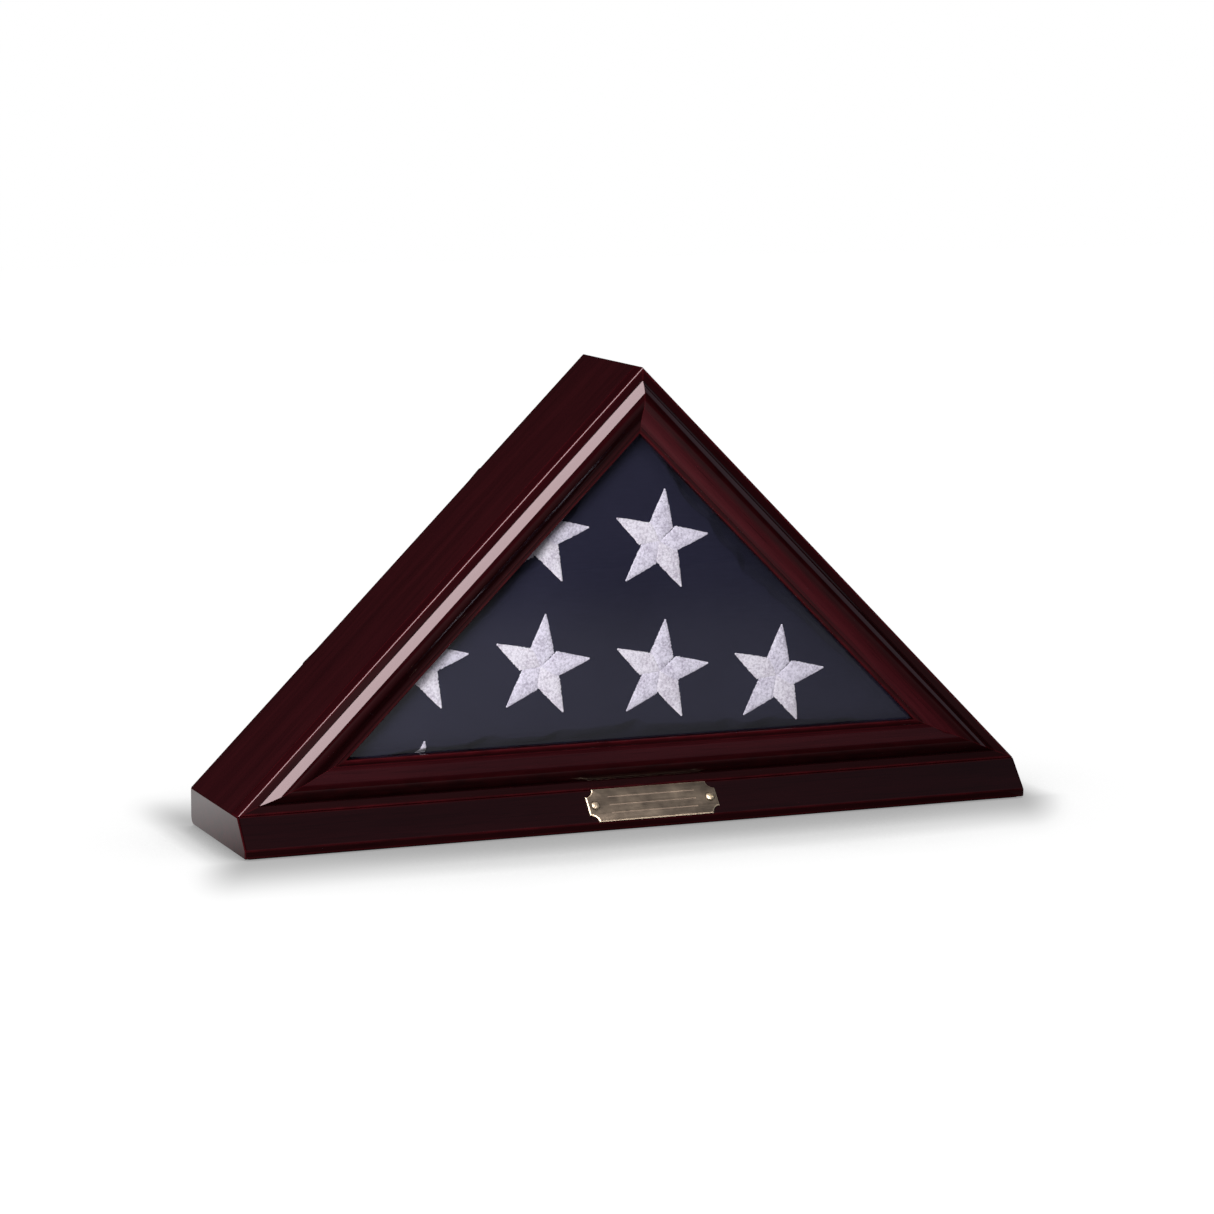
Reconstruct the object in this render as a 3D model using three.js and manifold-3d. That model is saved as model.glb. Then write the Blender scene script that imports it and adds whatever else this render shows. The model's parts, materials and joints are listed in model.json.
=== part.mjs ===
// Folded flag display case.
//
// Three boards form a right-angled triangle that stands on a bevelled plinth. A mitred moulding
// frames the pane in front, and a thin panel, held by six turn buttons, closes the back. The
// folded flag stands inside, against the pane. Millimetres, +Z up, the front faces -Y.
//
// "Inset" is a distance measured inwards, square to a side, from the outside triangle of the case.

import * as THREE from 'three';
import { mergeVertices } from 'three/addons/utils/BufferGeometryUtils.js';
import Module from 'manifold-3d';

const wasm = await Module();
wasm.setup();

// ---------------------------------------------------------------- driving dimensions

const caseWidth = 610;        // outside width of the triangle, and length of the plinth
const caseBack = 115;         // rear faces of the boards, behind the front arris at y = 0
const boardThickness = 13;
const jointGap = 0.3;         // clearance where two pieces meet

const plinthTop = 27.5;
const plinthNose = 18;        // how far the plinth stands in front of the case
const plinthLip = 7;          // top of the plinth's upright front lip
const linerThickness = 1;     // felt under the plinth

const mouldingBack = 13.7;    // rear face of the front moulding
const sightInset = 34;        // the moulding's inner edge
const glassRabbetInset = 26.5;
const glassRabbetFloor = 9.5; // front wall of the rabbet that holds the pane
const glassThickness = 2;

const panelRabbetInset = 8;
const panelRabbetDepth = 4;
const panelThickness = 3;

const flagInset = 14;
const flagFront = 14.4;
const flagThickness = 84;

const buttonReach = 24;       // pivot to the centre of the tip
const buttonRadius = 3.7;     // round end about the pivot
const buttonTipRadius = 2.6;
const buttonThickness = 1.6;
const buttonInset = 4;        // the pivots' inset

const plateLength = 101.6;
const plateHeight = 27;
const plateThickness = 1;
const plateNotch = 6;         // radius of the scooped corners
const plateScrewSpacing = 90;
const plateOffset = 5.4;      // how far the plate sits to the right of the middle

const boardScrew = { shank: 2, length: 33, head: 4, rise: 0.3, sink: 2.2 };
const buttonScrew = { shank: 1.4, length: 15, head: 3, rise: 1.7, sink: 0 };
const plateScrew = { shank: 1.1, length: 9, head: 3.2, rise: 1.5, sink: 0 };

// ---------------------------------------------------------------- materials

const finish = (color, roughness, metalness) => (
  new THREE.MeshStandardMaterial({ color, roughness, metalness }));

const lacquer = finish('#2d0c11', 0.15, 0);
const stainedWood = finish('#241013', 0.6, 0);
const brass = finish('#7a7060', 0.4, 0.9);
const steel = finish('#8c8c90', 0.35, 0.9);
const felt = finish('#15120f', 0.95, 0);
const navyCotton = finish('#1c1f3a', 0.9, 0);
const hardboard = finish('#191415', 0.8, 0);
const glass = finish('#e8edf0', 0.02, 0);
glass.transparent = true;
glass.opacity = 0.15;

// ---------------------------------------------------------------- the case's triangle

const cornerSlope = 1 / Math.tan(Math.PI / 8);

/** The corners of the triangle that lies `inset` inside the case, as points of the XZ plane. */
const corners = {
  left: (inset) => new THREE.Vector2(-caseWidth / 2 + inset * cornerSlope, plinthTop + inset),
  right: (inset) => new THREE.Vector2(caseWidth / 2 - inset * cornerSlope, plinthTop + inset),
  apex: (inset) => new THREE.Vector2(0, plinthTop + caseWidth / 2 - inset * Math.SQRT2),
};

const sides = {
  left: ['left', 'apex'],
  right: ['apex', 'right'],
  bottom: ['right', 'left'],
};

const sideEnds = (side, inset) => sides[side].map((name) => corners[name](inset));
const triangle = (inset) => [corners.left(inset), corners.right(inset), corners.apex(inset)];

// ---------------------------------------------------------------- solids

/** The geometry as a solid: only positions are kept, so that shared corners merge. */
function toManifold(geometry) {
  const bare = geometry.clone();
  bare.deleteAttribute('normal');
  bare.deleteAttribute('uv');
  const closed = mergeVertices(bare, 1e-5);
  return new wasm.Manifold(new wasm.Mesh({
    numProp: 3,
    vertProperties: new Float32Array(closed.attributes.position.array),
    triVerts: new Uint32Array(closed.index.array),
  }));
}

/** The body with every cutter taken away from it. */
function cut(body, cutters) {
  let solid = toManifold(body);
  for (const cutter of cutters) solid = solid.subtract(toManifold(cutter));
  const mesh = solid.getMesh();
  const geometry = new THREE.BufferGeometry();
  geometry.setAttribute('position', new THREE.BufferAttribute(mesh.vertProperties, 3));
  geometry.setIndex(new THREE.BufferAttribute(mesh.triVerts, 1));
  return geometry;
}

/** The geometry, turned about X and then moved. */
function placed(geometry, position, turn = 0) {
  return geometry.clone().rotateX(turn).translate(position.x, position.y, position.z);
}

/** An outline of the XZ plane, extruded from y = front to y = back, with edges rounded by `edge`. */
function slab(outline, front, back, edge = 0, edgeSteps = 1) {
  const shape = outline instanceof THREE.Shape ? outline : new THREE.Shape(outline);
  const geometry = new THREE.ExtrudeGeometry(shape, {
    depth: back - front - 2 * edge,
    curveSegments: 4,
    bevelEnabled: edge > 0,
    bevelThickness: edge,
    bevelSize: edge,
    bevelOffset: -edge,
    bevelSegments: edgeSteps,
  });
  return geometry.rotateX(Math.PI / 2).translate(0, back - edge, 0);
}

/**
 * A straight member along one side of the case, mitred at both ends. Its profile is (inset, y)
 * points, anticlockwise with the inset to the right and y upwards.
 */
function mitredMember(profile, side) {
  const [from, to] = sideEnds(side, 0);
  const halfGap = to.sub(from).normalize().multiplyScalar(jointGap / 2);
  const near = profile.map((p) => [sideEnds(side, p.x)[0].add(halfGap), p.y]);
  const far = profile.map((p) => [sideEnds(side, p.x)[1].sub(halfGap), p.y]);
  const points = [...near, ...far].flatMap(([at, y]) => [at.x, y, at.y]);
  const count = profile.length;
  const faces = [];
  for (const [a, b, c] of THREE.ShapeUtils.triangulateShape(profile, [])) {
    faces.push(a, c, b, a + count, b + count, c + count);
  }
  for (let i = 0; i < count; i += 1) {
    const next = (i + 1) % count;
    faces.push(i, next, next + count, i, next + count, i + count);
  }
  const geometry = new THREE.BufferGeometry();
  geometry.setAttribute('position', new THREE.Float32BufferAttribute(points, 3));
  geometry.setIndex(faces);
  return geometry;
}

/** A round cutter or pin along +Y, standing on y = 0. */
function pin(radius, length, topRadius = radius) {
  return new THREE.CylinderGeometry(topRadius, radius, length, 18).translate(0, length / 2, 0);
}

/** A slotted screw: the head stands above y = 0, and the shank points to -Y. */
function screw({ shank, length, head, rise, sink }) {
  const profile = [
    new THREE.Vector2(0, -length),
    new THREE.Vector2(shank, -length + 3 * shank),
    new THREE.Vector2(shank, -sink),
  ];
  const domeSteps = 4;
  for (let i = 0; i < domeSteps; i += 1) {
    const angle = (i / domeSteps) * (Math.PI / 2);
    profile.push(new THREE.Vector2(head * Math.cos(angle), rise * Math.sin(angle)));
  }
  profile.push(new THREE.Vector2(0, rise));
  const slotDepth = 0.4 * (rise + sink);
  const slot = new THREE.BoxGeometry(3 * head, 2 * slotDepth, 0.26 * head).translate(0, rise, 0);
  return cut(new THREE.LatheGeometry(profile, 18), [slot]);
}

const caseGroup = new THREE.Group();

function add(name, geometry, material, parent = caseGroup) {
  const mesh = new THREE.Mesh(geometry, material);
  mesh.name = name;
  parent.add(mesh);
  return mesh;
}

// ---------------------------------------------------------------- places of the fasteners

const towardsDown = -Math.PI / 2;  // turns about X that take +Y to -Z and to +Z
const towardsUp = Math.PI / 2;

const plinthScrewPlaces = [-200, 200].flatMap((x) => (
  [32, 92].map((y) => new THREE.Vector3(x, y, linerThickness + 0.5))));

/** The turn buttons' pivots, and the angle about Y that lays each one along its board. */
const buttonPlaces = Object.keys(sides).flatMap((side) => (
  [0.27, 0.73].map((share) => {
    const [from, to] = sideEnds(side, buttonInset);
    const pivot = from.clone().lerp(to, share);
    const along = share < 0.5 ? to.sub(from) : from.sub(to);
    return { x: pivot.x, z: pivot.y, angle: -Math.atan2(along.y, along.x) };
  })));

const bevelRise = plinthTop - plinthLip;
const bevelAngle = Math.atan2(bevelRise, plinthNose);
const towardsBevel = Math.PI / 2 + bevelAngle;  // takes +Y to the bevel's outward normal
const bevelNormal = new THREE.Vector3(0, -Math.sin(bevelAngle), Math.cos(bevelAngle));
const bevelCentre = new THREE.Vector3(0, -plinthNose / 2, plinthLip + bevelRise / 2);
const plateScrewOffsets = [-plateScrewSpacing / 2, plateScrewSpacing / 2];

// ---------------------------------------------------------------- plinth

function plinth() {
  const edge = 0.7;
  const rearRadius = 6;
  const profile = new THREE.Shape();
  profile.moveTo(0, plinthTop);
  profile.lineTo(-plinthNose, plinthLip);
  profile.lineTo(-plinthNose, linerThickness);
  profile.lineTo(caseBack - rearRadius, linerThickness);
  profile.quadraticCurveTo(caseBack, linerThickness, caseBack, linerThickness + rearRadius);
  profile.lineTo(caseBack, plinthTop);
  const blank = new THREE.ExtrudeGeometry(profile, {
    depth: caseWidth - 2 * edge,
    curveSegments: 6,
    bevelThickness: edge,
    bevelSize: edge,
    bevelOffset: -edge,
    bevelSegments: 3,
  });
  blank.rotateX(Math.PI / 2).rotateZ(Math.PI / 2).translate(edge - caseWidth / 2, 0, 0);

  const countersinkDepth = 3.6;
  const countersink = pin(boardScrew.shank, countersinkDepth + 0.2, boardScrew.head + 1.2);
  const holes = plinthScrewPlaces.flatMap((place) => [
    placed(pin(boardScrew.shank + jointGap, 50), place, towardsUp),
    placed(countersink, place.clone().setZ(linerThickness + countersinkDepth), towardsDown),
  ]);
  for (const x of plateScrewOffsets) {
    const foot = bevelCentre.clone().addScaledVector(bevelNormal, -plateScrew.length).setX(x + plateOffset);
    holes.push(placed(pin(plateScrew.shank + jointGap, 2 * plateScrew.length), foot, towardsBevel));
  }
  return cut(blank, holes);
}

add('plinth', plinth(), lacquer);

for (const [i, place] of plinthScrewPlaces.entries()) {
  const fastener = add(`plinth_screw_${i + 1}`, screw(boardScrew), steel);
  fastener.position.set(place.x, place.y, linerThickness + 0.5);
  fastener.rotation.x = towardsDown;
}

const linerMargin = 4;
const linerEnd = caseWidth / 2 - linerMargin;
const linerBox = new THREE.Box3(
  new THREE.Vector3(-linerEnd, linerMargin - plinthNose, 0),
  new THREE.Vector3(linerEnd, caseBack - 2 * linerMargin, linerThickness - 0.1));
const linerSize = linerBox.getSize(new THREE.Vector3());
const linerCentre = linerBox.getCenter(new THREE.Vector3());
add('felt_base_liner', new THREE.BoxGeometry(...linerSize), felt).position.copy(linerCentre);

// ---------------------------------------------------------------- boards

const boardsFront = mouldingBack + jointGap;
const boardsFoot = plinthTop + 0.2;
const panelRabbet = slab(triangle(panelRabbetInset), caseBack - panelRabbetDepth, caseBack + 5);

const buttonPilots = buttonPlaces.map(({ x, z }) => (
  placed(pin(buttonScrew.shank + jointGap, buttonScrew.length + 5),
    new THREE.Vector3(x, caseBack - buttonScrew.length + 1, z))));

const plinthPilots = plinthScrewPlaces.map((place) => (
  placed(pin(boardScrew.shank + jointGap, 35), place, towardsUp)));

/** A sloping board: it stands on the plinth, and meets the other one in a mitre at the top. */
function slopingBoard(hand) {
  const halfBase = caseWidth / 2 - (boardsFoot - plinthTop);
  const innerBase = halfBase - boardThickness * Math.SQRT2;
  const mitre = jointGap / 2;
  const outline = [
    new THREE.Vector2(hand * halfBase, boardsFoot),
    new THREE.Vector2(hand * innerBase, boardsFoot),
    new THREE.Vector2(hand * mitre, boardsFoot + innerBase - mitre),
    new THREE.Vector2(hand * mitre, boardsFoot + halfBase - mitre),
  ];
  return slab(outline, boardsFront, caseBack);
}

/** The board on the plinth, its ends bevelled to lie between the sloping ones. */
function bottomBoard() {
  const top = plinthTop + boardThickness;
  const halfBase = caseWidth / 2 - (boardThickness + jointGap) * Math.SQRT2;
  const halfFoot = halfBase - (boardsFoot - plinthTop);
  const halfTop = halfBase - boardThickness;
  const outline = [
    new THREE.Vector2(-halfFoot, boardsFoot),
    new THREE.Vector2(halfFoot, boardsFoot),
    new THREE.Vector2(halfTop, top),
    new THREE.Vector2(-halfTop, top),
  ];
  return slab(outline, boardsFront, caseBack);
}

add('left_side_board', cut(slopingBoard(-1), [panelRabbet, ...buttonPilots]), lacquer);
add('right_side_board', cut(slopingBoard(1), [panelRabbet, ...buttonPilots]), lacquer);
add('bottom_board', cut(bottomBoard(), [panelRabbet, ...buttonPilots, ...plinthPilots]), stainedWood);

// ---------------------------------------------------------------- front moulding, pane and stops

/** Outside edge, fillet, ovolo, scoop and inner strip, then the rabbet for the pane. */
function mouldingProfile(outerInset) {
  const arris = { inset: 0.9, depth: 1.3 };
  const fillet = 6.4;
  const quirk = { width: 0.5, depth: 0.6 };
  const profile = [new THREE.Vector2(outerInset, mouldingBack)];
  const arrisSteps = 5;
  for (let i = 0; i <= arrisSteps; i += 1) {
    const angle = (i / arrisSteps) * (Math.PI / 2);
    const inset = arris.inset * (1 - Math.cos(angle));
    const depth = arris.depth * (1 - Math.sin(angle));
    profile.push(new THREE.Vector2(Math.max(inset, outerInset), depth));
  }
  const ovoloFoot = fillet + quirk.width;
  profile.push(new THREE.Vector2(fillet, 0));
  profile.push(new THREE.Vector2(fillet + 0.1, quirk.depth));
  profile.push(new THREE.Vector2(ovoloFoot, quirk.depth));
  const wave = new THREE.SplineCurve([
    new THREE.Vector2(ovoloFoot, 0),
    new THREE.Vector2(9.4, -2.2),
    new THREE.Vector2(12.2, -3.6),
    new THREE.Vector2(15, -4.2),
    new THREE.Vector2(17.6, -3.9),
    new THREE.Vector2(20.6, -2.5),
    new THREE.Vector2(24, 0.2),
    new THREE.Vector2(27.4, 2.4),
    new THREE.Vector2(30.2, 3.2),
  ]);
  profile.push(...wave.getPoints(32));
  const strip = { start: 30.7, front: 3.7, fall: 0.2, roll: 1.1 };
  profile.push(new THREE.Vector2(strip.start, strip.front));
  const rollSteps = 4;
  for (let i = 0; i <= rollSteps; i += 1) {
    const angle = (i / rollSteps) * (Math.PI / 2);
    profile.push(new THREE.Vector2(
      sightInset - strip.roll * (1 - Math.sin(angle)),
      strip.front + strip.fall + strip.roll * (1 - Math.cos(angle))));
  }
  profile.push(new THREE.Vector2(sightInset, glassRabbetFloor));
  profile.push(new THREE.Vector2(glassRabbetInset, glassRabbetFloor));
  profile.push(new THREE.Vector2(glassRabbetInset, mouldingBack));
  return profile;
}

const paneFront = glassRabbetFloor + jointGap;
const paneBack = paneFront + glassThickness;
const stopInsets = [glassRabbetInset + 2 * jointGap, sightInset - 1];
const stopProfile = [
  new THREE.Vector2(stopInsets[0], mouldingBack),
  new THREE.Vector2(stopInsets[0], paneBack + jointGap),
  new THREE.Vector2(stopInsets[1], paneBack + jointGap),
  new THREE.Vector2(stopInsets[1], mouldingBack),
];

for (const side of Object.keys(sides)) {
  const outerInset = side === 'bottom' ? boardsFoot - plinthTop : 0;
  add(`${side}_front_moulding`, mitredMember(mouldingProfile(outerInset), side), lacquer);
  add(`${side}_glass_stop`, mitredMember(stopProfile, side), stainedWood);
}

add('glass_pane', slab(triangle(glassRabbetInset + 2 * jointGap), paneFront, paneBack), glass);

// ---------------------------------------------------------------- folded flag

/** The triangle at an inset, with round corners: each arc's centre is a corner of a smaller one. */
function roundedTriangle(inset, radius) {
  const [left, right, apex] = triangle(inset + radius);
  const shape = new THREE.Shape();
  shape.absarc(left.x, left.y, radius, 0.75 * Math.PI, 1.5 * Math.PI);
  shape.absarc(right.x, right.y, radius, 1.5 * Math.PI, 2.25 * Math.PI);
  shape.absarc(apex.x, apex.y, radius, 0.25 * Math.PI, 0.75 * Math.PI);
  shape.closePath();
  return shape;
}

const flagCorner = 9;
const flagEdge = 7;
const flagShape = roundedTriangle(flagInset, flagCorner);
add('folded_flag', slab(flagShape, flagFront, flagFront + flagThickness, flagEdge, 3), navyCotton);

// ---------------------------------------------------------------- back panel and turn buttons

const panelFront = caseBack - panelRabbetDepth + 0.2;
add('back_panel',
  slab(triangle(panelRabbetInset + 0.5), panelFront, panelFront + panelThickness), hardboard);

function turnButton() {
  const tangent = Math.acos((buttonRadius - buttonTipRadius) / buttonReach);
  const outline = new THREE.Shape();
  outline.absarc(0, 0, buttonRadius, tangent, 2 * Math.PI - tangent, false);
  outline.absarc(buttonReach, 0, buttonTipRadius, -tangent, tangent, false);
  outline.closePath();
  outline.holes.push(new THREE.Path().absarc(0, 0, buttonScrew.shank + jointGap, 0, 2 * Math.PI));
  return slab(outline, 0, buttonThickness, 0.3);
}

const buttonFront = caseBack + 0.2;
buttonPlaces.forEach(({ x, z, angle }, i) => {
  const pivot = new THREE.Group();
  pivot.position.set(x, buttonFront, z);
  pivot.rotation.y = angle;
  add(`turn_button_${i + 1}`, turnButton(), brass, pivot);
  const fastener = add(`turn_button_screw_${i + 1}`, screw(buttonScrew), brass, pivot);
  fastener.position.y = buttonThickness + jointGap;
  caseGroup.add(pivot);
});

// ---------------------------------------------------------------- nameplate

/** A plate with its corners scooped out, engraved with three plain rules. */
function nameplate() {
  const halfLength = plateLength / 2;
  const halfHeight = plateHeight / 2;
  const outline = new THREE.Shape();
  outline.absarc(halfLength, -halfHeight, plateNotch, Math.PI, Math.PI / 2, true);
  outline.absarc(halfLength, halfHeight, plateNotch, -Math.PI / 2, -Math.PI, true);
  outline.absarc(-halfLength, halfHeight, plateNotch, 0, -Math.PI / 2, true);
  outline.absarc(-halfLength, -halfHeight, plateNotch, Math.PI / 2, 0, true);
  outline.closePath();
  for (const x of plateScrewOffsets) {
    outline.holes.push(new THREE.Path().absarc(x, 0, plateScrew.shank + jointGap, 0, 2 * Math.PI));
  }
  const rule = { length: 68, width: 0.9, depth: 0.25, pitch: 6.6 };
  const rules = [-1, 0, 1].map((line) => (
    new THREE.BoxGeometry(rule.length, 2 * rule.depth, rule.width)
      .translate(0, plateThickness, line * rule.pitch)));
  return cut(slab(outline, 0, plateThickness, 0.35), rules);
}

const plateGroup = new THREE.Group();
plateGroup.position.copy(bevelCentre).addScaledVector(bevelNormal, jointGap).setX(plateOffset);
plateGroup.rotation.x = towardsBevel;
add('nameplate', nameplate(), brass, plateGroup);
for (const [hand, x] of [['left', plateScrewOffsets[0]], ['right', plateScrewOffsets[1]]]) {
  const fastener = add(`nameplate_screw_${hand}`, screw(plateScrew), brass, plateGroup);
  fastener.position.set(x, plateThickness + 0.2, 0);
}
caseGroup.add(plateGroup);

// The origin is under the middle of the case, on the surface that it stands on.
const extent = new THREE.Box3().setFromObject(caseGroup, true);
caseGroup.position.y = -(extent.min.y + extent.max.y) / 2;

export default caseGroup;
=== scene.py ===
"""Looks of a folded flag display case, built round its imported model.

Lacquered boards and mitred mouldings on a bevelled plinth, a pane, a padded folded flag with
embroidered stars, an engraved brass nameplate, and a back panel with six brass turn buttons.
Metres, +Z up, the front faces -Y. "Inset" is a distance measured inwards, square to a side, from
the outside triangle of the case, and "depth" is a distance behind the case's front arris.
"""

import json
import math
import random
from functools import partial

import bmesh
import bpy
import numpy as np
from mathutils import Matrix, Vector, noise
from mathutils.bvhtree import BVHTree

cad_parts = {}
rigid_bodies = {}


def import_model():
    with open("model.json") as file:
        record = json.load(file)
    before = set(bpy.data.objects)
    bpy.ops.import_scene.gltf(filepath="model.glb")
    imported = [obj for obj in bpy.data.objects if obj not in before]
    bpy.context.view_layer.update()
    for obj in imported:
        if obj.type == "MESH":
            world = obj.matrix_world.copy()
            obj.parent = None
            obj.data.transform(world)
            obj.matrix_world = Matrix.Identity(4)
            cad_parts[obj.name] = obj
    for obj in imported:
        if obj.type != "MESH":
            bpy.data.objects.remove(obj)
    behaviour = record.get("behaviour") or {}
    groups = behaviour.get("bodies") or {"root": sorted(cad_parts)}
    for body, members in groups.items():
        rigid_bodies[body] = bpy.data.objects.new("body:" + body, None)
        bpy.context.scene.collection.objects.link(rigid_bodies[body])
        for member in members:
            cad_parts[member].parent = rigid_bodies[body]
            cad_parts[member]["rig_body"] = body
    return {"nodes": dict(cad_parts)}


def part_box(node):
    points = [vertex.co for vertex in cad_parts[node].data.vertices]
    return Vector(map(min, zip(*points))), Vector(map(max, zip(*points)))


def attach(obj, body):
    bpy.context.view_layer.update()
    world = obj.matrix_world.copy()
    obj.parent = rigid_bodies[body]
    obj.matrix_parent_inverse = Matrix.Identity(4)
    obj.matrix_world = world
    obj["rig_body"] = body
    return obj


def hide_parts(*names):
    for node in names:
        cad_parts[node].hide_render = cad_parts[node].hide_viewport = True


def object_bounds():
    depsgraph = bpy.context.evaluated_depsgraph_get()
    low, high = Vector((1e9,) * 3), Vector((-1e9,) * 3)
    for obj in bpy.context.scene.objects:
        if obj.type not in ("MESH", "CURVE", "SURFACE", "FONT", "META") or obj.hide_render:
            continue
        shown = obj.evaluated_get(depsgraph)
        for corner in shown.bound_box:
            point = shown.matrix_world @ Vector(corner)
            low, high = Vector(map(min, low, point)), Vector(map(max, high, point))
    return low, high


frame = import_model()
cad_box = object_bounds()
nodes = frame["nodes"]

MM = 0.001
ROOT2 = math.sqrt(2)

# ---- places, from the frame

plinth_low, plinth_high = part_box("plinth")
CASE_HALF = plinth_high.x
PLINTH_TOP = plinth_high.z
PLINTH_FOOT = plinth_low.z
PLINTH_LIP = 7 * MM
REAR_Y = plinth_high.y
PANE_SETBACK = 9.8 * MM
ARRIS_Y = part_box("glass_pane")[0].y - PANE_SETBACK
CASE_DEPTH = REAR_Y - ARRIS_Y
CASE_TOP = cad_box[1][2] - 0.01 * MM
MOULDING_DEPTH = 13.85 * MM
BOARD_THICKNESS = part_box("bottom_board")[1].z - PLINTH_TOP
FLAG_LOW, FLAG_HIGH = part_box("folded_flag")
FLAG_INSET = FLAG_LOW.z - PLINTH_TOP

# ---- the case's triangle

CORNER_SLOPE = 1 / math.tan(math.pi / 8)


def corner(name, inset):
    """A corner of the triangle that lies inset inside the case, as (x, z)."""
    if name == "apex":
        return Vector((0, PLINTH_TOP + CASE_HALF - inset * ROOT2))
    hand = -1 if name == "left" else 1
    return Vector((hand * (CASE_HALF - inset * CORNER_SLOPE), PLINTH_TOP + inset))


SIDES = {"left": ("left", "apex"), "right": ("apex", "right"), "bottom": ("right", "left")}
GRAIN_TURN = {"left": math.radians(45), "right": math.radians(-45), "bottom": 0.0}


def mitre_ends(side, gap=0.02 * MM):
    """The two ends of a mitred member's line at an inset, as a function of the inset."""
    names = SIDES[side]
    step = (corner(names[1], 0) - corner(names[0], 0)).normalized() * gap

    def ends(inset):
        return corner(names[0], inset) + step, corner(names[1], inset) - step

    return ends


def slope_ends(hand, gap=0.02 * MM):
    """The ends of a sloping board's line: cut level on the plinth, mitred at the top."""

    def ends(inset):
        half = CASE_HALF - ROOT2 * inset
        foot = Vector((hand * (half - gap), PLINTH_TOP + gap))
        return foot, Vector((hand * gap, PLINTH_TOP + half - gap))

    return ends


def foot_ends(inset):
    """The ends of the bottom board's line, between the two sloping boards."""
    half = CASE_HALF - BOARD_THICKNESS * ROOT2 - inset
    return Vector((half, PLINTH_TOP + inset)), Vector((-half, PLINTH_TOP + inset))


# ---- outlines


def arc(centre, radius, start, end, steps):
    """Points on a circle, from one angle to another, in degrees."""
    turns = [math.radians(start + (end - start) * i / steps) for i in range(steps + 1)]
    return [centre + radius * Vector((math.cos(t), math.sin(t))) for t in turns]


def rounded(points, radii, steps=5):
    """The closed outline with an arc of the given radius in place of each corner."""
    outline = []
    for i, (point, radius) in enumerate(zip(points, radii)):
        point = Vector(point)
        before = (Vector(points[i - 1]) - point).normalized()
        after = (Vector(points[(i + 1) % len(points)]) - point).normalized()
        if radius == 0:
            outline.append(point)
            continue
        half = before.angle(after) / 2
        reach = radius / math.tan(half)
        centre = point + (before + after).normalized() * radius / math.sin(half)
        first = point + before * reach - centre
        last = point + after * reach - centre
        for j in range(steps + 1):
            turned = first.lerp(last, j / steps).normalized() * radius
            outline.append(centre + turned)
    return outline


def curve_through(points, steps):
    """A smooth curve through the points, with the same number of steps in each span."""
    ends = [points[0] * 2 - points[1], *points, points[-1] * 2 - points[-2]]
    made = []
    for a, b, c, d in zip(ends, ends[1:], ends[2:], ends[3:]):
        for j in range(steps):
            t = j / steps
            bend = (2 * a - 5 * b + 4 * c - d) * t * t + (3 * b - a - 3 * c + d) * t ** 3
            made.append((2 * b + (c - a) * t + bend) / 2)
    return [*made, points[-1]]


def shrunk(points, distance):
    """The closed anticlockwise outline, moved inwards by a distance."""
    moved = []
    for i, point in enumerate(points):
        before = (point - points[i - 1]).normalized()
        after = (points[(i + 1) % len(points)] - point).normalized()
        inward = Vector((-before.y - after.y, before.x + after.x)).normalized()
        share = max(0.35, inward.dot(Vector((-after.y, after.x))))
        moved.append(point + inward * distance / share)
    return moved


def with_shoulders(points, reach=1.4 * MM):
    """The closed outline, with a point beside each end of a long straight, where edge wear and the
    painted highlight stop.
    """
    made = []
    for point, after in zip(points, points[1:] + points[:1]):
        made.append(point)
        length = (after - point).length
        if length > 3 * reach:
            made += [point.lerp(after, reach / length), after.lerp(point, reach / length)]
    return made


def edge_wear(points, reach=0.9 * MM, full_turn=70):
    """How far each point of a closed anticlockwise outline stands on an outer edge, from 0 to 1: there
    the lacquer is worn and a highlight is painted.
    """
    turns = []
    for before, point, after in zip(points[-1:] + points, points, points[1:] + points[:1]):
        turns.append(-math.degrees((point - before).angle_signed(after - point, 0)))
    return [
        min(1, max(0, sum(t for t, other in zip(turns, points) if (other - point).length < reach))
            / full_turn)
        for point in points
    ]


# ---- materials


def feed(tree, socket, value):
    """Joins the socket to another node's output, or sets its own value."""
    if isinstance(value, bpy.types.NodeSocket):
        tree.links.new(value, socket)
    else:
        socket.default_value = value


def add_node(tree, kind, inputs=None, **settings):
    """A new node with the given settings and inputs."""
    made = tree.nodes.new(kind)
    for key, value in settings.items():
        setattr(made, key, value)
    for key, value in (inputs or {}).items():
        feed(tree, made.inputs[key], value)
    return made


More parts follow.
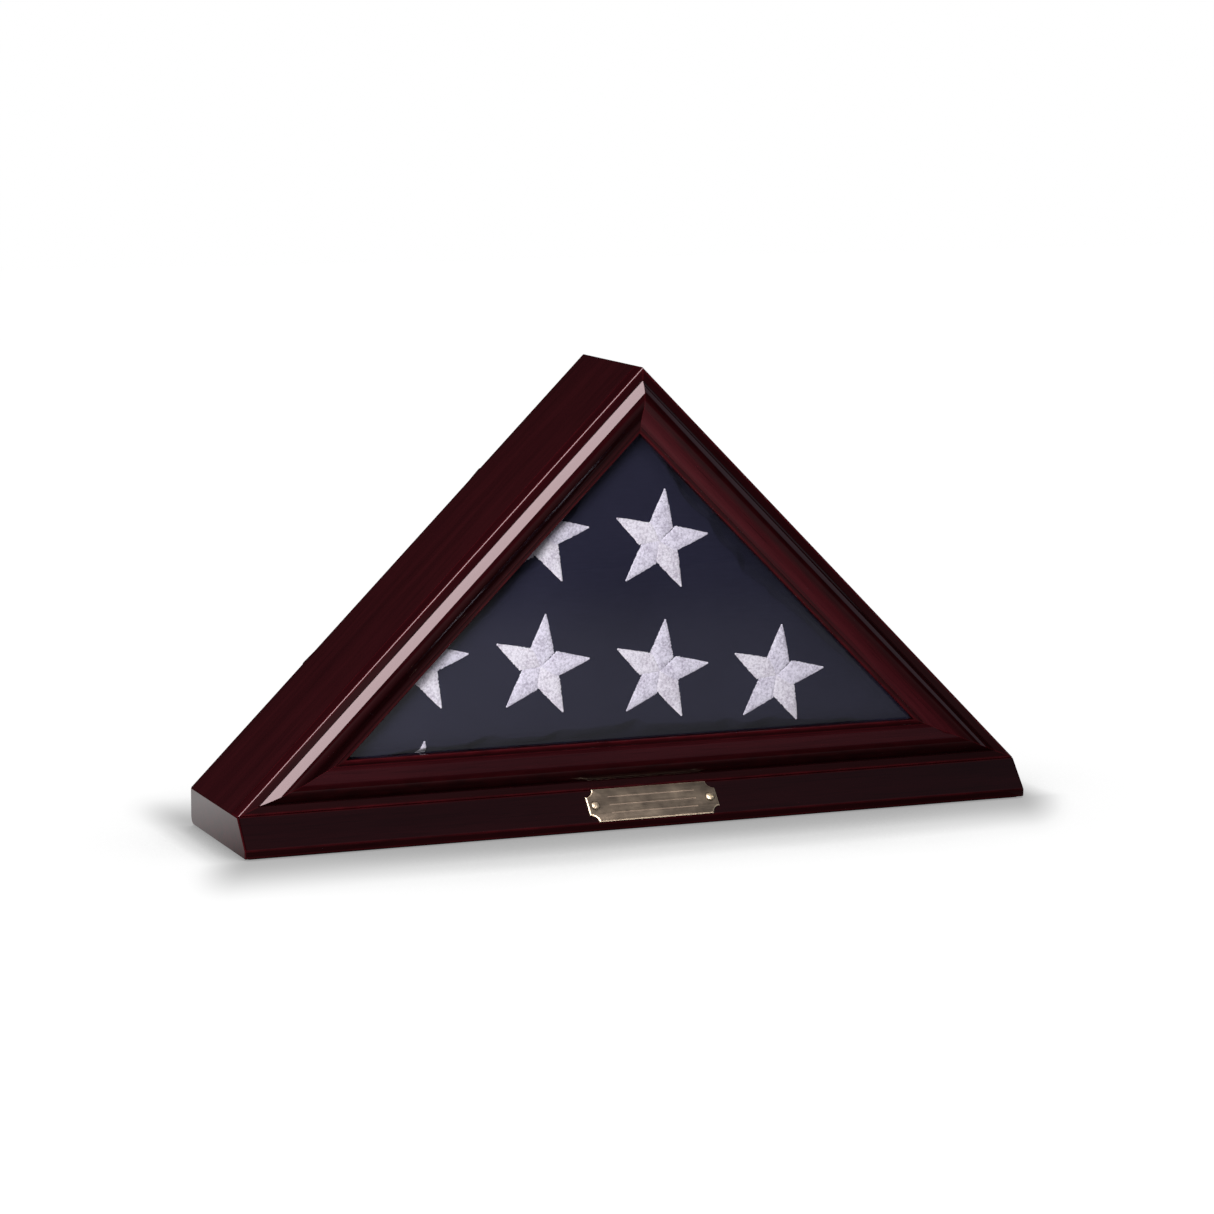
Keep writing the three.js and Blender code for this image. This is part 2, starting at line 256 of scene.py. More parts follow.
class Shader:
    """A node material: short calls that add a node and join it to what is already there."""

    def __init__(self, name):
        self.material = bpy.data.materials.new(name)
        self.material.use_nodes = True
        self.tree = self.material.node_tree
        self.surface = self.tree.nodes["Principled BSDF"]
        self.output = self.tree.nodes["Material Output"]

    def node(self, kind, inputs=None, **settings):
        return add_node(self.tree, kind, inputs, **settings)

    def set(self, **values):
        """Sets the Principled shader's own sockets: coat_weight=1 sets Coat Weight."""
        for key, value in values.items():
            words = ["IOR" if word == "ior" else word.capitalize() for word in key.split("_")]
            feed(self.tree, self.surface.inputs[" ".join(words)], value)

    def place(self, turn=0.0, scale=(1, 1, 1)):
        """Coordinates on the object, turned about Y so that X runs along a member, and scaled."""
        where = self.node("ShaderNodeTexCoord").outputs["Object"]
        turned = self.node(
            "ShaderNodeVectorRotate", {"Vector": where, "Angle": turn}, rotation_type="Y_AXIS")
        scaled = self.node("ShaderNodeMapping", {"Vector": turned.outputs[0], "Scale": scale})
        return scaled.outputs[0]

    def noise(self, scale, turn=0.0, detail=4.0, roughness=0.5, distortion=0.0):
        """Noise on the object, with a scale of its own along each axis of place()."""
        inputs = {"Vector": self.place(turn, scale), "Scale": 1.0, "Detail": detail,
                  "Roughness": roughness, "Distortion": distortion}
        return self.node("ShaderNodeTexNoise", inputs).outputs["Fac"]

    def ramp(self, factor, stops):
        made = self.node("ShaderNodeValToRGB", {"Fac": factor})
        elements = made.color_ramp.elements
        for i, (position, colour) in enumerate(stops):
            element = elements[i] if i < 2 else elements.new(position)
            element.position = position
            element.color = (*colour, 1) if len(colour) == 3 else colour
        return made.outputs["Color"]

    def mix(self, factor, a, b, blend="MIX"):
        a, b = (c if isinstance(c, bpy.types.NodeSocket) else (*c, 1) for c in (a, b))
        inputs = {0: factor, 6: a, 7: b}
        return self.node("ShaderNodeMix", inputs, data_type="RGBA", blend_type=blend).outputs[2]

    def math(self, operation, a, b=0.0, c=0.0):
        return self.node("ShaderNodeMath", {0: a, 1: b, 2: c}, operation=operation).outputs[0]

    def remap(self, value, low, high, to_low, to_high, **settings):
        """The value's place between low and high, taken to the same place between two others."""
        inputs = {0: value, 1: low, 2: high, 3: to_low, 4: to_high}
        return self.node("ShaderNodeMapRange", inputs, **settings).outputs[0]

    def attribute(self, name):
        return self.node("ShaderNodeAttribute", attribute_name=name).outputs["Fac"]

    def bump(self, height, distance, strength=1.0, normal=None):
        inputs = {"Height": height, "Distance": distance, "Strength": strength}
        if normal is not None:
            inputs["Normal"] = normal
        return self.node("ShaderNodeBump", inputs).outputs["Normal"]


def lacquered_wood(side):
    """Dark red lacquer over grain that runs along one side, crimson at the edges: partly worn lacquer,
    partly a painted highlight.
    """
    shader = Shader(f"lacquered_wood_{side}")
    turn = GRAIN_TURN[side]
    figure = shader.noise((5, 60, 60), turn, detail=5, roughness=0.6, distortion=0.4)
    pores = shader.noise((25, 900, 900), turn, detail=2)
    mottle = shader.noise((14, 22, 22), turn, detail=3)
    wood = shader.ramp(figure, [(0.34, (0.012, 0.0016, 0.0023)), (0.66, (0.021, 0.0026, 0.0037))])
    wood = shader.mix(shader.math("MULTIPLY", mottle, 0.45), wood, (0.0165, 0.0019, 0.0030))
    # The tone attribute scales the wood colour: on the mouldings it is partly stain and partly painted
    # shade and painted light.
    tone = shader.node("ShaderNodeVectorMath", {0: wood, 3: shader.attribute("tone")},
                       operation="SCALE")
    wood = tone.outputs[0]
    dark_pores = shader.ramp(pores, [(0.30, (0.55, 0.55, 0.55)), (0.48, (1, 1, 1))])
    wood = shader.mix(0.6, wood, dark_pores, "MULTIPLY")
    # Crimson on the edges and mitre ends: partly worn lacquer, partly a painted highlight where the
    # arrises catch the light.
    worn_and_lit = shader.noise((60, 260, 260), turn, detail=3)
    worn_and_lit = shader.math("MULTIPLY_ADD", worn_and_lit, 1.4, -0.2)
    worn_and_lit = shader.math("MULTIPLY", shader.attribute("wear"), worn_and_lit)
    wood = shader.mix(shader.math("MINIMUM", worn_and_lit, 0.55), wood, (0.060, 0.0040, 0.0062))
    peel = shader.noise((90, 90, 90), detail=1)
    sweep = shader.noise((9, 40, 40), turn, detail=1)
    relief = shader.bump(peel, 0.02 * MM, 0.1)
    relief = shader.bump(sweep, 0.1 * MM, 0.1, relief)
    shader.set(base_color=wood, roughness=0.5, specular_ior_level=0.0,
               coat_weight=shader.math("SUBTRACT", 1.0, shader.attribute("dull")),
               coat_roughness=0.03, coat_ior=1.4, coat_normal=relief)
    shader.set(normal=shader.bump(pores, 0.05 * MM, 0.4))
    return shader.material


def stained_wood():
    """Thin matt stain on the wood inside the case."""
    shader = Shader("stained_wood")
    figure = shader.noise((7, 90, 90), detail=6, roughness=0.6, distortion=0.5)
    pores = shader.noise((40, 1200, 1200), detail=2)
    wood = shader.ramp(figure, [(0.3, (0.022, 0.006, 0.005)), (0.7, (0.060, 0.018, 0.013))])
    shader.set(base_color=wood, roughness=shader.math("MULTIPLY_ADD", figure, 0.2, 0.5))
    shader.set(normal=shader.bump(pores, 0.12 * MM, 0.6))
    return shader.material


def aged_brass(name="aged_brass", light=(0.52, 0.43, 0.29), dark=(0.27, 0.215, 0.15),
               roughness=0.42, brush=(18, 2600, 2600)):
    """Brushed brass, dulled unevenly by age."""
    shader = Shader(name)
    lines = shader.noise(brush, detail=3, roughness=0.7)
    patches = shader.noise((70, 70, 70), detail=5, roughness=0.6)
    tarnish = shader.math("MULTIPLY_ADD", lines, 0.5, shader.math("MULTIPLY", patches, 0.6))
    colour = shader.ramp(tarnish, [(0.35, dark), (0.72, light)])
    rough = shader.math("MULTIPLY_ADD", patches, 0.24, roughness - 0.12)
    shader.set(base_color=colour, metallic=1.0, roughness=rough)
    shader.set(normal=shader.bump(lines, 0.03 * MM, 0.5))
    return shader.material


def steel():
    """Plated steel of the plinth screws."""
    shader = Shader("steel")
    patches = shader.noise((300, 300, 300), detail=4)
    colour = shader.ramp(patches, [(0.3, (0.34, 0.34, 0.36)), (0.7, (0.58, 0.58, 0.60))])
    shader.set(base_color=colour, metallic=1.0)
    shader.set(roughness=shader.math("MULTIPLY_ADD", patches, 0.25, 0.22))
    return shader.material


def felt():
    """Pressed black felt, with short stray fibres."""
    shader = Shader("felt")
    fibres = shader.noise((700, 700, 700), detail=6, roughness=0.7, distortion=2.0)
    colour = shader.ramp(fibres, [(0.3, (0.004, 0.004, 0.004)), (0.75, (0.022, 0.020, 0.019))])
    shader.set(base_color=colour, roughness=0.95, sheen_weight=0.4, sheen_roughness=0.6)
    shader.set(normal=shader.bump(fibres, 0.4 * MM, 0.8))
    return shader.material


def hardboard():
    """Dark smooth-faced hardboard, with pressed fibres showing faintly."""
    shader = Shader("hardboard")
    fibres = shader.noise((420, 420, 420), detail=6, roughness=0.75, distortion=1.5)
    clouds = shader.noise((18, 18, 18), detail=3)
    blend = shader.math("MULTIPLY_ADD", fibres, 0.6, shader.math("MULTIPLY", clouds, 0.4))
    colour = shader.ramp(blend, [(0.35, (0.016, 0.011, 0.010)), (0.68, (0.052, 0.037, 0.031))])
    shader.set(base_color=colour, roughness=shader.math("MULTIPLY_ADD", fibres, 0.3, 0.42))
    shader.set(normal=shader.bump(fibres, 0.1 * MM, 0.5))
    return shader.material


BOTH_FACES_IOR = 1.9  # one surface that mirrors as much as the pane's two faces together


def window_glass():
    """A thin clear pane: it lets everything through, and mirrors on the way in."""
    shader = Shader("window_glass")
    shader.tree.nodes.remove(shader.surface)
    ripple = shader.noise((6, 6, 6), detail=1)
    flat = shader.bump(ripple, 0.3 * MM, 0.1)
    clear = shader.node("ShaderNodeBsdfTransparent", {"Color": (0.93, 0.95, 0.95, 1)})
    mirror = shader.node("ShaderNodeBsdfGlossy", {"Roughness": 0.0, "Normal": flat})
    share = shader.node("ShaderNodeFresnel", {"IOR": BOTH_FACES_IOR}).outputs[0]
    leaving = shader.node("ShaderNodeNewGeometry").outputs["Backfacing"]
    share = shader.math("MULTIPLY", share, shader.math("SUBTRACT", 1.0, leaving))
    pane = shader.node("ShaderNodeMixShader", {0: share, 1: clear.outputs[0],
                                               2: mirror.outputs[0]})
    shader.tree.links.new(pane.outputs[0], shader.output.inputs["Surface"])
    return shader.material


def navy_cotton():
    """Plain-woven navy cotton, a little uneven in its dye."""
    shader = Shader("navy_cotton")
    where = shader.node("ShaderNodeSeparateXYZ", {0: shader.place()}).outputs
    thread = 2 * math.pi / (0.9 * MM)
    along = shader.math("SINE", shader.math("MULTIPLY", where[0], thread))
    up = shader.math("SINE", shader.math("MULTIPLY", where[2], thread))
    back = shader.math("SINE", shader.math("MULTIPLY", where[1], thread))
    weave = shader.math("ADD", shader.math("MULTIPLY", along, up), back)
    slubs = shader.noise((60, 60, 900), detail=3)
    clouds = shader.noise((9, 9, 9), detail=4)
    blend = shader.math("MULTIPLY_ADD", slubs, 0.35, shader.math("MULTIPLY", clouds, 0.65))
    dye = shader.ramp(blend, [(0.32, (0.0165, 0.0148, 0.0315)), (0.68, (0.0245, 0.0220, 0.0435))])
    height = shader.math("MULTIPLY_ADD", slubs, 1.5, weave)
    shader.set(base_color=dye, roughness=0.88, sheen_weight=0.12, sheen_roughness=0.45)
    shader.set(sheen_tint=(0.6, 0.55, 0.85, 1), specular_ior_level=0.25)
    shader.set(normal=shader.bump(height, 0.06 * MM, 0.6))
    return shader.material


def star_thread(name, light, dark):
    """Glossy embroidery thread, one tint for each direction in which the stitches lie: a lighter copy as
    painted sheen and a darker copy as painted shade.
    """
    shader = Shader(name)
    flecks = shader.noise((560, 560, 560), detail=4, roughness=0.7)
    clouds = shader.noise((120, 120, 120), detail=3)
    blend = shader.math("MULTIPLY_ADD", flecks, 0.75, shader.math("MULTIPLY", clouds, 0.25))
    colour = shader.ramp(blend, [(0.38, dark), (0.56, light)])
    shader.set(base_color=colour, roughness=0.6, sheen_weight=0.3, sheen_roughness=0.4)
    shader.set(normal=shader.bump(flecks, 0.25 * MM, 0.7))
    return shader.material


LACQUER = {side: lacquered_wood(side) for side in SIDES}
STAINED = stained_wood()
BRASS = aged_brass()
BRIGHT_BRASS = aged_brass("worn_brass", (0.80, 0.70, 0.50), (0.55, 0.47, 0.32), 0.5)
PLATE_BRASS = aged_brass("plate_brass", (0.345, 0.345, 0.25), (0.18, 0.174, 0.13))
PLATE_TRIM = aged_brass("plate_trim", (0.66, 0.67, 0.48), (0.45, 0.45, 0.32), 0.5)
ENGRAVED = aged_brass("engraved_brass", (0.40, 0.39, 0.29), (0.26, 0.25, 0.19), 0.55)
COTTON = navy_cotton()
# Lit and shaded copies of one white thread: painted sheen and painted shade.
SHEEN_LIT_THREAD = star_thread("white_thread", (0.95, 0.84, 0.93), (0.55, 0.45, 0.55))
SHADE_THREAD = star_thread("shade_thread", (0.90, 0.79, 0.92), (0.48, 0.40, 0.51))

# ---- making pieces


def mesh_piece(name, points, faces, materials, sharp=35):
    """An object with smooth faces, and sharp edges where its faces meet at more than an angle."""
    mesh = bpy.data.meshes.new(name)
    mesh.from_pydata([tuple(p) for p in points], [], faces)
    for material in materials:
        mesh.materials.append(material)
    work = bmesh.new()
    work.from_mesh(mesh)
    bmesh.ops.recalc_face_normals(work, faces=work.faces)
    work.to_mesh(mesh)
    work.free()
    smooth(mesh, sharp)
    piece = bpy.data.objects.new(name, mesh)
    bpy.context.scene.collection.objects.link(piece)
    return piece


def smooth(mesh, sharp):
    mesh.polygons.foreach_set("use_smooth", [True] * len(mesh.polygons))
    mesh.set_sharp_from_angle(angle=math.radians(sharp))


def fixed(piece, body, slot_name, *stands_for):
    """The piece rides on a body and stands for CAD nodes. Its slot name is not used."""
    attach(piece, body)
    if stands_for:
        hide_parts(*stands_for)
    return piece


def set_values(piece, **values):
    """Stores one number for each point of the mesh, under each name."""
    for name, numbers in values.items():
        stored = piece.data.attributes.new(name, "FLOAT", "POINT")
        stored.data.foreach_set("value", numbers)


def rings_to_faces(rings, count):
    """Quads that join each ring of points to the next, and a cap at each end."""
    faces = []
    for ring in range(rings - 1):
        for i in range(count):
            j = (i + 1) % count
            a, b = ring * count, (ring + 1) * count
            faces.append((a + i, a + j, b + j, b + i))
    faces.append(tuple(range(count)))
    faces.append(tuple(range((rings - 1) * count, rings * count)))
    return faces


def cut(piece, cutters):
    """Takes the cutters away from the piece for good, and keeps their materials on the cut."""
    for cutter in cutters:
        knife = piece.modifiers.new("cut", "BOOLEAN")
        knife.object = cutter
        knife.operation = "DIFFERENCE"
        knife.solver = "EXACT"
        knife.material_mode = "TRANSFER"
    settle(piece)
    for cutter in cutters:
        bpy.data.objects.remove(cutter)


def settle(piece):
    """Applies every modifier of the piece."""
    graph = bpy.context.evaluated_depsgraph_get()
    made = bpy.data.meshes.new_from_object(piece.evaluated_get(graph))
    piece.modifiers.clear()
    old = piece.data
    piece.data = made
    bpy.data.meshes.remove(old)


# ---- members of the case


def member(name, profile, ends, material, mitre_wear=0.0, tone=lambda inset: 1.0,
           dull_side=False):
    """A straight member: a closed profile of (inset, depth) points, drawn between its two ends.

    A dull side is an outside face with no clear coat.
    """
    mitre_reach = 1.6 * MM
    spans = 24
    length = (ends(0)[1] - ends(0)[0]).length
    near = mitre_reach / length
    stops = [0, near] + [i / spans for i in range(1, spans)] + [1 - near, 1]
    profile = with_shoulders(profile)
    # Edges and mitre ends take wear and a painted highlight: the crimson of rubbed lacquer and of light
    # caught on the arrises.
    wear = edge_wear(profile)
    points, worn_and_lit = [], []
    tones = [tone(inset / MM) for inset, depth in profile] * len(stops)
    for stop in stops:
        at_mitre = mitre_wear if stop in (0, 1) else 0
        for (inset, depth), edge in zip(profile, wear):
            first, last = ends(inset)
            at = first.lerp(last, stop)
            points.append((at.x, ARRIS_Y + depth, min(at.y, CASE_TOP)))
            worn_and_lit.append(max(edge, at_mitre))
    piece = mesh_piece(name, points, rings_to_faces(len(stops), len(profile)), [material])
    dull = [float(inset == 0 and dull_side) for inset, depth in profile] * len(stops)
    set_values(piece, wear=worn_and_lit, tone=tones, dull=dull)
    return piece


# Partly stain, partly painted shade and light: the bottom rail's downward ovolo and the left scoop are
# painted dark, the left side and the right scoop light.
TONE_PLACES = (0, 6.4, 8, 11, 14, 18, 21, 26, 28, 31, 34)
STAIN_AND_SHADE_TONES = {
    "left": (1.05, 1.05, 0.6, 0.6, 0.6, 0.9, 0.65, 0.6, 1.1, 0.8, 0.8),
    "right": (0.65, 0.65, 0.4, 0.4, 0.3, 0.65, 1.6, 2.4, 2.2, 0.7, 0.6),
    "bottom": (0.6, 0.6, 0.2, 0.14, 0.18, 0.4, 1.0, 1.2, 1.4, 0.45, 0.5),
}


def moulding_stain_and_shade(side, inset):
    """How dark or light the wood is at an inset across a moulding: partly stain, which takes mostly in
    its scoop, and partly painted shade and painted light, set for each side by how the lamps fall on it.
    """
    return float(np.interp(inset, TONE_PLACES, STAIN_AND_SHADE_TONES[side]))


def moulding_profile():
    """Outer edge, fillet, quirk, ovolo, scoop and inner strip, then the rabbet for the pane."""
    roll = Vector((0.9, 1.3))
    outer = [
        Vector((roll.x * (1 - math.cos(turn)), roll.y * (1 - math.sin(turn))))
        for turn in (math.pi / 2 * i / 10 for i in range(11))
    ]
    quirk = [Vector(p) for p in ((6.25, 0), (6.38, 0.12), (6.45, 0.55), (6.55, 0.62), (6.85, 0.62),
                                 (6.9, 0.5))]
    wave = curve_through([Vector(p) for p in (
        (6.95, 0.05), (9.4, -2.2), (12.2, -3.55), (15, -4.15), (17.6, -3.85), (20.6, -2.5),
        (24, 0.2), (27.4, 2.4), (30.2, 3.2))], 7)
    roll_radius = 1.1
    strip = [Vector(p) for p in ((30.5, 3.3), (30.7, 3.62), (30.95, 3.7))]
    inner_roll = arc(Vector((34 - roll_radius, 3.9 + roll_radius)), roll_radius, 270, 360, 8)
    rabbet = [Vector((34, 9.5)), Vector((26.5, 9.5)), Vector((26.5, MOULDING_DEPTH / MM))]
    rear = [Vector((0, MOULDING_DEPTH / MM))]
    return [p * MM for p in rear + outer + quirk + wave + strip + inner_roll + rabbet]


def mouldings():
    for side in SIDES:
        name = f"{side}_front_moulding"
        piece = member(f"{name}_lacquered", moulding_profile(), mitre_ends(side), LACQUER[side],
                       0.7, partial(moulding_stain_and_shade, side), dull_side=True)
        fixed(piece, "case", "lacquered_wood", name)


def board_profile(foot, rear_radius):
    """A board's section, with the rabbet for the back panel at its rear inner edge."""
    front, rear, thick = MOULDING_DEPTH, CASE_DEPTH, BOARD_THICKNESS
    rabbet_inset, rabbet_depth = 8 * MM, 4 * MM
    corners = [(foot, front), (thick, front), (thick, rear - rabbet_depth),
               (rabbet_inset, rear - rabbet_depth), (rabbet_inset, rear), (foot, rear)]
    soft = 0.5 * MM
    return rounded(corners, [0, 0, soft, 0, soft, rear_radius])[::-1]


def boards():
    for hand, side in ((-1, "left"), (1, "right")):
        profile = board_profile(0, 1.2 * MM)
        piece = member(f"{side}_side_board_lacquered", profile, slope_ends(hand), LACQUER[side],
                       tone=lambda inset: 1.2)
        fixed(piece, "case", "lacquered_wood", f"{side}_side_board")
    profile = board_profile(0.2 * MM, 0.3 * MM)
    piece = member("bottom_board_stained", profile, foot_ends, STAINED)
    fixed(piece, "case", "stained_wood", "bottom_board")


# ---- plinth

BEVEL_TURN = math.atan2(PLINTH_TOP - PLINTH_LIP, ARRIS_Y - plinth_low.y)
BEVEL_NORMAL = Vector((0, -math.sin(BEVEL_TURN), math.cos(BEVEL_TURN)))
BEVEL_UP = Vector((0, math.cos(BEVEL_TURN), math.sin(BEVEL_TURN)))
BEVEL_CENTRE = Vector((0, (ARRIS_Y + plinth_low.y) / 2, (PLINTH_TOP + PLINTH_LIP) / 2))


def plinth():
    """The base board: bevelled front over an upright lip, rounded rear foot and eased ends."""
    low, high = plinth_low, plinth_high
    section = rounded(
        [(low.y, PLINTH_FOOT), (high.y, PLINTH_FOOT), (high.y, PLINTH_TOP), (ARRIS_Y, PLINTH_TOP),
         (low.y, PLINTH_LIP)],
        [1.2 * MM, 6 * MM, 1.2 * MM, 1.2 * MM, 1.6 * MM], 7)
    section = with_shoulders(section, 0.8 * MM)
    ease = 1.0 * MM
    steps = 5
    # The plinth's edges take wear and a painted highlight, and its ends more of both.
    edge_share, end_wear, tone = 0.4, 0.6, 0.45
    points, worn_and_lit = [], []
    wear = edge_wear(section, 0.7 * MM, 40)
    turns = [math.pi / 2 * i / steps for i in range(steps + 1)]
    ring_places = [(-high.x + ease * (1 - math.sin(t)), ease * (1 - math.cos(t))) for t in turns[::-1]]
    ring_places.append((2.5 * ease - high.x, 0))
    ring_places += [(high.x * (i / 12 - 1), 0) for i in range(1, 24)]
    ring_places.append((high.x - 2.5 * ease, 0))
    ring_places += [(high.x - ease * (1 - math.sin(t)), ease * (1 - math.cos(t))) for t in turns]
    for x, inwards in ring_places:
        for point, edge in zip(shrunk(section, inwards), wear):
            points.append((x, point.x, point.y))
            worn_and_lit.append(max(edge_share * edge, end_wear if inwards > 0 else 0))
    piece = mesh_piece("plinth_lacquered", points,
                       rings_to_faces(len(ring_places), len(section)), [LACQUER["bottom"]])
    set_values(piece, wear=worn_and_lit, tone=[tone] * len(worn_and_lit))
    for end in piece.data.polygons[-2:]:
        end.use_smooth = False
    return fixed(piece, "case", "lacquered_wood", "plinth")


# ---- metal fittings


def turned(name, profile, steps, materials):
    """A closed surface turned about +Z, from a profile of (radius, height) points on the axis."""
    points, faces = [(0, 0, profile[0][1])], []
    for radius, height in profile[1:-1]:
        for i in range(steps):
            turn = 2 * math.pi * i / steps
            points.append((radius * math.cos(turn), radius * math.sin(turn), height))
    points.append((0, 0, profile[-1][1]))
    rows = len(profile) - 2
    for i in range(steps):
        j = (i + 1) % steps
        faces.append((0, 1 + j, 1 + i))
        for row in range(rows - 1):
            a, b = 1 + row * steps, 1 + (row + 1) * steps
            faces.append((a + i, a + j, b + j, b + i))
        last = 1 + (rows - 1) * steps
        faces.append((last + i, last + j, len(points) - 1))
    return mesh_piece(name, points, faces, materials)


def box_cutter(size, centre, material):
    """A box that cuts a slot or a groove."""
    half = Vector(size) / 2
    signs = [(x, y, z) for x in (-1, 1) for y in (-1, 1) for z in (-1, 1)]
    points = [Vector(centre) + Vector((x * half.x, y * half.y, z * half.z)) for x, y, z in signs]
    faces = [(0, 1, 3, 2), (4, 6, 7, 5), (0, 4, 5, 1), (2, 3, 7, 6), (0, 2, 6, 4), (1, 5, 7, 3)]
    return mesh_piece("cutter", points, faces, [material])


def round_head_screw(name, head, rise, shank, length, slot_turn, material):
    """A slotted screw along +Z: its head stands on z = 0, with a thread on the hidden shank."""
    dome = [(head * math.cos(t), rise * math.sin(t)) for t in
            (math.pi / 2 * i / 9 for i in range(9))]
    rim = [(head - 0.12 * MM, -0.02 * MM), (head, 0.08 * MM)]
    pitch = 0.9 * MM
    turns = int((length - 3 * shank) / pitch)
    thread = [(0, -length), (shank * 0.35, -length + 0.6 * shank)]
    for i in range(turns):
        root = -length + 1.2 * shank + i * pitch
        taper = min(1, 0.5 + 0.25 * i)
        thread += [(0.72 * shank * taper, root), (shank * taper, root + pitch / 2)]
    thread += [(0.72 * shank, thread[-1][1] + pitch / 2), (0.72 * shank, -0.3 * MM)]
    profile = thread + rim + dome[1:] + [(0, rise)]
    piece = turned(name, profile, 40, [material])
    slot_depth, slot_width = 0.45 * rise, 0.24 * head
    cutter = box_cutter((3 * head, slot_width, 2 * slot_depth), (0, 0, rise), material)
    cutter.data.transform(Matrix.Rotation(slot_turn, 4, "Z"))
    cut(piece, [cutter])
    smooth(piece.data, 30)
    return piece


def plate_screws():
    """Two dulled brass screws at the plate's ends, their slots turned as they happened to stop."""
    for side, hand, turn in (("left", -1, 0.9), ("right", 1, -0.5)):
        name = f"nameplate_screw_{side}"
        piece = round_head_screw(f"{name}_domed", 3.2 * MM, 1.45 * MM, 1.1 * MM, 9 * MM, turn,
                                 PLATE_TRIM)
        seat = BEVEL_CENTRE + BEVEL_NORMAL * PLATE_SEAT
        put_on_bevel(piece, seat + BEVEL_NORMAL * 1.2 * MM + Vector((hand * PLATE_SCREW_X, 0, 0)))
        fixed(piece, "case", "aged_brass", name)


def put_on_bevel(piece, place):
    """Turns the piece so that its +Z points out of the plinth's bevel, at the plate's place."""
    place = place + Vector((PLATE_OFFSET, 0, 0))
    basis = Matrix((Vector((1, 0, 0)), BEVEL_UP, BEVEL_NORMAL)).transposed().to_4x4()
    piece.data.transform(Matrix.Translation(place) @ basis)


PLATE_SEAT = 0.3 * MM
PLATE_OFFSET = 5.4 * MM
PLATE_SCREW_X = 45 * MM


def plate_outline():
    """Half lengths 50.8 by 13.5 mm, anticlockwise, with a quarter circle scooped from each corner."""
    half_length, half_height, notch = 50.8, 13.5, 6
    outline = []
    for x, y, start in ((1, -1, 180), (1, 1, 270), (-1, 1, 0), (-1, -1, 90)):
        centre = Vector((x * half_length, y * half_height))
        outline += arc(centre, notch, start, start - 90, 14)
    return [p * MM for p in outline]


def nameplate():
    """The engraved plate: scooped corners, a bright bevelled rim, three rules and two seats."""
    outline = plate_outline()
    levels = ((0, 0), (0, 0.42), (0.06, 0.52), (0.8, 0.97), (0.95, 1.0))
    points = []
    for inwards, height in levels:
        ring = shrunk(outline, inwards * MM) if inwards else outline
        points += [(p.x, p.y, height * MM) for p in ring]
    count = len(outline)
    piece = mesh_piece("nameplate_engraved", points, rings_to_faces(len(levels), count),
                       [PLATE_BRASS, PLATE_TRIM, ENGRAVED])
    for face in piece.data.polygons:
        heights = [piece.data.vertices[v].co.z for v in face.vertices]
        if max(heights) < 0.98 * MM and min(heights) > 0.4 * MM:
            face.material_index = 1
    thickness, rule_depth, seat_depth = 1.0 * MM, 0.22 * MM, 0.62 * MM
    cutters = [
        box_cutter((68 * MM, 0.9 * MM, 2 * rule_depth), (0, line * 6.6 * MM, thickness), ENGRAVED)
        for line in (-1, 0, 1)
    ]
    for hand in (-1, 1):
        seat = turned("cutter", [(0, -seat_depth), (3.6 * MM, -seat_depth), (4.0 * MM, seat_depth),
                                 (0, seat_depth)], 40, [PLATE_BRASS])
        seat.data.transform(Matrix.Translation((hand * PLATE_SCREW_X, 0, thickness)))
        cutters.append(seat)
    cut(piece, cutters)
    smooth(piece.data, 20)
    put_on_bevel(piece, BEVEL_CENTRE + BEVEL_NORMAL * PLATE_SEAT)
    fixed(piece, "case", "aged_brass", "nameplate")


def button_outline():
    """A tapered tab with round ends, from the pivot at the origin out along +X."""
    reach, wide, narrow = 24, 3.7, 2.6
    touch = math.degrees(math.acos((wide - narrow) / reach))
    back = arc(Vector((0, 0)), wide, touch, 360 - touch, 22)
    tip = arc(Vector((reach, 0)), narrow, -touch, touch, 14)
    return [p * MM for p in back + tip]


def turn_button_places():
    """Each button's number, pivot (x, z) and angle from +X in the XZ plane when it stands clear."""
    pivot_inset = 4 * MM
    number = 0
    for side in SIDES:
        first, last = (corner(name, pivot_inset) for name in SIDES[side])
        for share in (0.27, 0.73):
            number += 1
            along = last - first if share < 0.5 else first - last
            yield number, first.lerp(last, share), math.atan2(along.y, along.x)


def turn_buttons():
    """Stamped brass tabs with rolled edges, each on a slotted screw, on the backs of the boards."""
    thickness = 1.6
    levels = ((0.25, 0), (0.05, 0.1), (0, 0.3), (0, 1.15), (0.12, 1.4), (0.4, 1.57), (0.75, 1.6))
    for number, pivot, angle in turn_button_places():
        name = f"turn_button_{number}"
        points = []
        outline = button_outline()
        for inwards, height in levels:
            points += [(p.x, p.y, height * MM) for p in shrunk(outline, inwards * MM)]
        piece = mesh_piece(f"{name}_stamped", points, rings_to_faces(len(levels), len(outline)),
                           [BRASS], 50)
        screw = round_head_screw(f"turn_button_screw_{number}_domed", 3.0 * MM, 1.65 * MM, 1.4 * MM,
                                 15 * MM, 0.7 * number, BRIGHT_BRASS)
        screw.data.transform(Matrix.Translation((0, 0, (thickness + 0.3) * MM)))
        # The tab is drawn in XY and faces +Z: it is stood up in XZ, facing +Y.
        turn = Matrix(((-1, 0, 0), (0, 0, 1), (0, 1, 0))).to_4x4()
        angle_in_place = Matrix.Rotation(math.pi - angle, 4, "Z")
        where = Matrix.Translation((pivot.x, REAR_Y + 0.2 * MM, pivot.y))
        for part, node in ((piece, name), (screw, f"turn_button_screw_{number}")):
            part.data.transform(where @ turn @ angle_in_place)
            fixed(part, nodes[node]["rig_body"], "aged_brass", node)


# ---- folded flag

